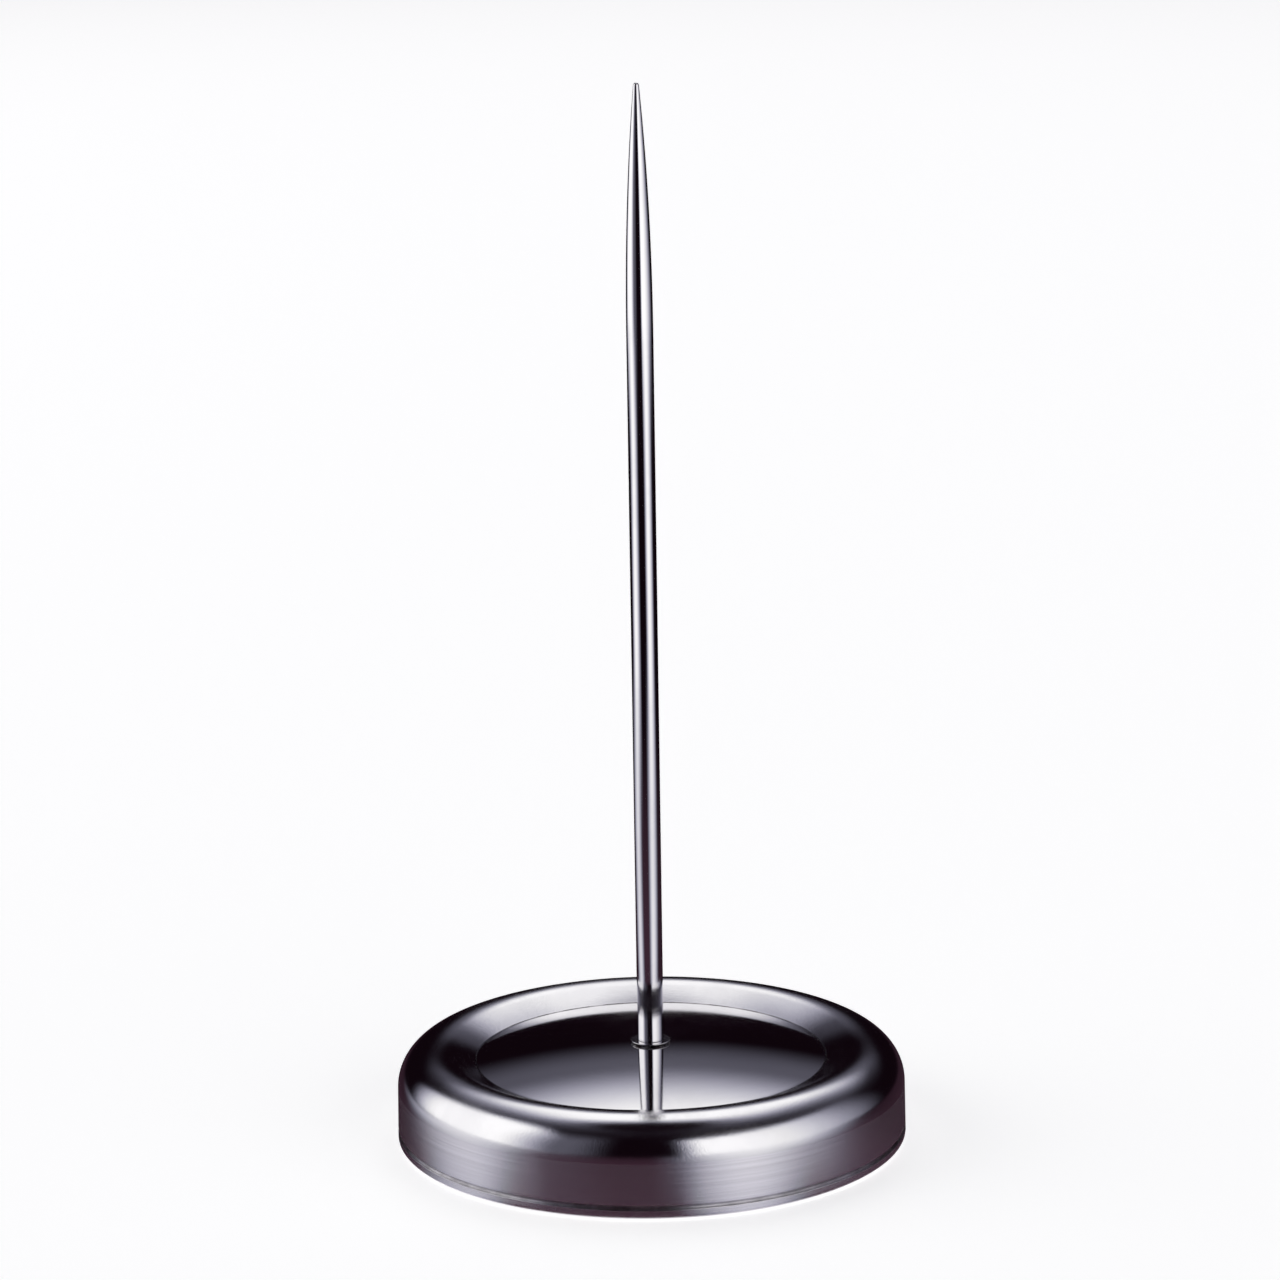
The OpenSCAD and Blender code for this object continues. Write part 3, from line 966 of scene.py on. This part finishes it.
def point_on_curve(share):
    """A place on the point, from its foot at 0 to the start of the ball at 1."""
    radius = spike_r - (spike_r - ball_start[0]) * share**point_fullness
    return (radius, point_z + (ball_start[1] - point_z) * share)


point_curve = [point_on_curve(i / point_steps) for i in range(point_steps + 1)]
print(f"point starts {point_z / MM:.1f} mm up, half way it is {point_on_curve(0.5)[0] / MM:.2f} mm in radius")

# %% Spike
thread_depth = 0.4 * MM
thread_top = 12.5 * MM
core_r = tail_r - thread_depth
tail_bevel = 0.3 * MM
edge_r = 0.15 * MM
edge_top = shoulder_z + 4 * edge_r
short_step, bevel_step, end_step, tail_step, rod_step = 0.1 * MM, 0.2 * MM, 0.4 * MM, 1 * MM, 3 * MM
spike_section = join(
    line((0, spike_low.z), (core_r - tail_bevel, spike_low.z), end_step),
    line((core_r - tail_bevel, spike_low.z), (core_r, spike_low.z + tail_bevel), bevel_step),
    line((core_r, spike_low.z + tail_bevel), (core_r, thread_top), tail_step),
    line((core_r, thread_top), (tail_r, thread_top + thread_depth), bevel_step),
    line((tail_r, thread_top + thread_depth), (tail_r, shoulder_z), tail_step),
    line((tail_r, shoulder_z), (spike_r - edge_r, shoulder_z), short_step),
    arc((spike_r - edge_r, shoulder_z + edge_r), edge_r, -right_angle, 0, small_turn),
    line((spike_r, shoulder_z + edge_r), (spike_r, edge_top), short_step),
    line((spike_r, edge_top), (spike_r, point_z), rod_step),
    point_curve,
    arc(tip_c, tip_r, tip_lean, right_angle, bend_turn),
)
spike_section[-1] = (0, spike_high.z)
spike = turn_piece("rod", spike_section, steps=96, material=polished_steel)
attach(spike, "root")
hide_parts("spike")

# %% [markdown]
# ## The thread on the tail
# A thread is a ridge that follows a helix. Geometry Nodes draws the helix with its spiral, and a small diamond
# swept along it gives the ridge. Half of the diamond is buried in the core of the tail.

# %% The thread tree
points_per_turn = 40
thread_sizes = {"Turns": NUMBER, "Core Radius": NUMBER, "Length": NUMBER, "Depth": NUMBER, "Foot": VECTOR}
thread_tree, given, result = new_group(
    "Thread",
    "GeometryNodeTree",
    {"Start": GEOMETRY, **thread_sizes, "Material": MATERIAL},
    {"Ridge": GEOMETRY},
)
spiral = {
    "Resolution": points_per_turn,
    "Rotations": given["Turns"],
    "Start Radius": given["Core Radius"],
    "End Radius": given["Core Radius"],
    "Height": given["Length"],
}
helix = add_node(thread_tree, "GeometryNodeCurveSpiral", spiral).outputs[0]
upright = add_node(thread_tree, "GeometryNodeSetCurveNormal", {"Curve": helix}, mode="Z_UP").outputs[0]
four_points = {"Resolution": 4, "Radius": given["Depth"]}
diamond = add_node(thread_tree, "GeometryNodeCurvePrimitiveCircle", four_points).outputs["Curve"]
sweep = {"Curve": upright, "Profile Curve": diamond, "Fill Caps": True}
ridge = add_node(thread_tree, "GeometryNodeCurveToMesh", sweep).outputs[0]
lift = {"Geometry": ridge, "Translation": given["Foot"]}
raised = add_node(thread_tree, "GeometryNodeTransform", lift).outputs[0]
finish_group(thread_tree, result, {"Ridge": coated(thread_tree, raised, given["Material"])})

# %% Thread
pitch = 0.7 * MM
thread_foot = spike_low.z + 0.6 * MM
thread_length = thread_top - thread_foot - 0.2 * MM
tail_thread = bpy.data.objects.new("tail_thread", bpy.data.meshes.new("tail_thread"))
make_with_tree(
    tail_thread,
    thread_tree,
    {
        "Turns": thread_length / pitch,
        "Core Radius": core_r,
        "Length": thread_length,
        "Depth": thread_depth,
        "Foot": (0, 0, thread_foot),
        "Material": polished_steel,
    },
)
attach(tail_thread, "root")
print("thread has", round(thread_length / pitch, 1), "turns")

# %% [markdown]
# ## The washer at the foot
# A small polished washer sits between the rod's shoulder and the dish. Its edge is rounded on top and cut back
# underneath. The cut faces the dish and shows nothing bright, so it draws the dark ring round the foot of the
# rod. Painted shade on the steel just above the dish darkens that ring further.

# %% Foot washer
washer_edge_r = 0.09 * MM
washer_cut = math.radians(30)
cut_step, flat_step, hole_step = 0.05 * MM, 0.2 * MM, 0.3 * MM
washer_edge_c = (washer_high.x - washer_edge_r, washer_high.z - washer_edge_r)
cut_top = on_circle(washer_edge_c, washer_edge_r, -washer_cut)
cut_foot = (cut_top[0] - (cut_top[1] - washer_low.z) * math.tan(washer_cut), washer_low.z)
washer_section = join(
    line((hole_r, washer_low.z), cut_foot, flat_step),
    line(cut_foot, cut_top, cut_step),
    arc(washer_edge_c, washer_edge_r, -washer_cut, right_angle, inside_turn),
    line((washer_edge_c[0], washer_high.z), (hole_r, washer_high.z), flat_step),
    line((hole_r, washer_high.z), (hole_r, washer_low.z), hole_step),
)
foot_washer = turn_piece("washer_at_foot", washer_section, steps=96, material=polished_steel)
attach(foot_washer, "root")
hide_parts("foot_washer")

# %% [markdown]
# ## The anti-slip disc
# A rubber disc under the base keeps it from sliding and scratching. Its cut edges are slightly rounded.

# %% Anti-slip disc
disc_edge_r = 0.2 * MM
disc_step = 2 * MM
disc_flat_r = disc_high.x - disc_edge_r
disc_section = join(
    line((0, disc_low.z), (disc_flat_r, disc_low.z), disc_step),
    arc((disc_flat_r, disc_low.z + disc_edge_r), disc_edge_r, -right_angle, 0, small_turn),
    arc((disc_flat_r, disc_high.z - disc_edge_r), disc_edge_r, 0, right_angle, small_turn),
    line((disc_flat_r, disc_high.z), (0, disc_high.z), disc_step),
)
rubber_disc = turn_piece("rubber_disc", disc_section, steps=192, material=black_rubber)
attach(rubber_disc, "root")
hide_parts("anti_slip_disc")

# %% [markdown]
# ## Solids that stay
# The ballast, its washers, the nut and the bottom plate have the right shape already, so they only get their
# finish.

# %% Finishes for the solids that stay
kept = {
    "ballast": cast_iron,
    "clamp_washer": zinc_plate,
    "clamp_nut": zinc_plate,
    "spring_washer": spring_steel,
    "bottom_plate": plain_sheet,
}
for name, material in kept.items():
    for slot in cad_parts[name].material_slots:
        slot.material = material
print("kept as they are:", ", ".join(kept))
